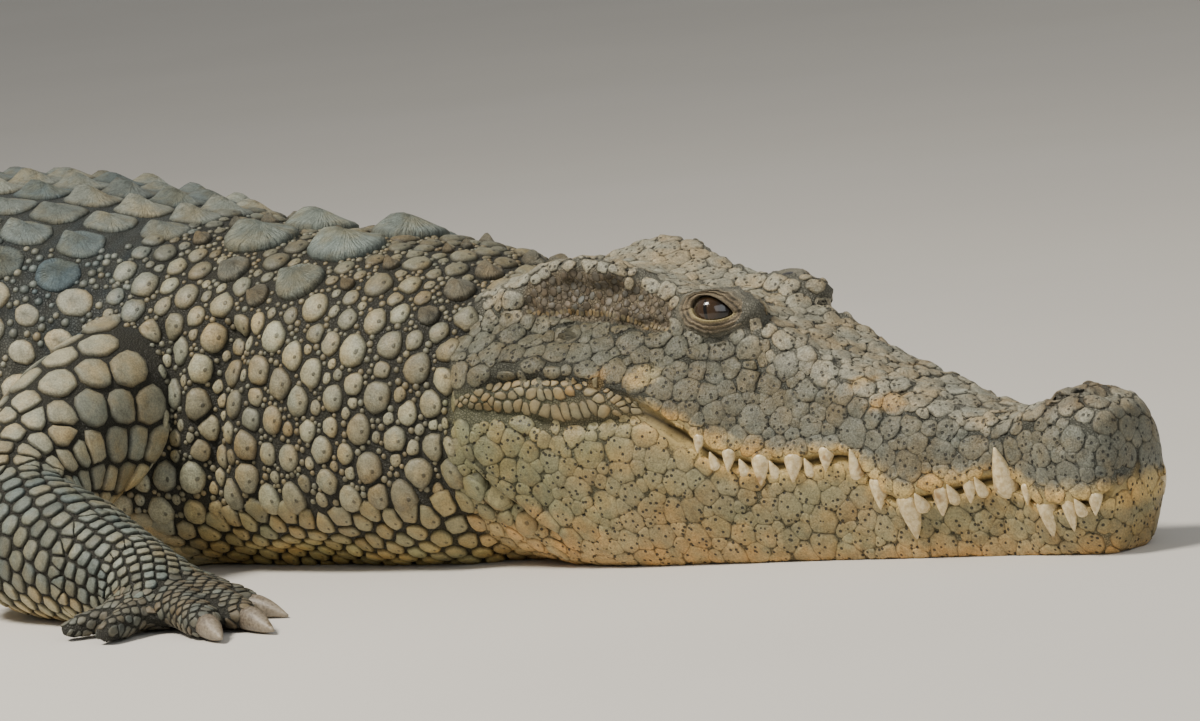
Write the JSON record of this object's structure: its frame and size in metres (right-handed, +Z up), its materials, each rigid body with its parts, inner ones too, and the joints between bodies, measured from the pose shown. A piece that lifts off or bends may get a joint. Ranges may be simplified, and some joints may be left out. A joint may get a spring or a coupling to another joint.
{
  "type": "nile crocodile",
  "caption": "Life-size Nile crocodile lying flat on its belly with closed jaws, forelegs folded beside the neck and the tail laid out behind in a gentle bend.",
  "frame": {"origin": "Middle of the belly's flat, at the level of the floor that the animal lies on.", "axes": "+X from the tail towards the snout, +Z up, the animal's right side faces -Y."},
  "size_m": [3.5641, 1.0886, 0.3343],
  "materials": {
    "head_skin": "satin",
    "jaw_skin": "satin",
    "neck_skin": "satin",
    "back_skin": "satin",
    "tail_skin": "satin",
    "limb_skin": "satin",
    "tooth": "satin",
    "eye": "gloss",
    "claw": "satin"
  },
  "bodies": {
    "root": {"head": "head_skin", "lower_jaw": "jaw_skin", "eye_right": "eye", "eye_left": "eye", "neck": "neck_skin", "chest": "back_skin", "trunk": "back_skin", "hips": "back_skin", "tail_1": "tail_skin", "tail_2": "tail_skin", "tail_3": "tail_skin", "tail_4": "tail_skin", "tail_5": "tail_skin", "upper_arm_right": "limb_skin", "upper_arm_left": "limb_skin", "forearm_right": "limb_skin", "forearm_left": "limb_skin", "hand_right": "limb_skin", "hand_left": "limb_skin", "thigh_right": "limb_skin", "thigh_left": "limb_skin", "shank_right": "limb_skin", "shank_left": "limb_skin", "foot_right": "limb_skin", "foot_left": "limb_skin", "hand_claw_1_right": "claw", "hand_claw_1_left": "claw", "hand_claw_2_right": "claw", "hand_claw_2_left": "claw", "hand_claw_3_right": "claw", "hand_claw_3_left": "claw", "foot_claw_1_right": "claw", "foot_claw_1_left": "claw", "foot_claw_2_right": "claw", "foot_claw_2_left": "claw", "foot_claw_3_right": "claw", "foot_claw_3_left": "claw"}
  },
  "joints": []
}
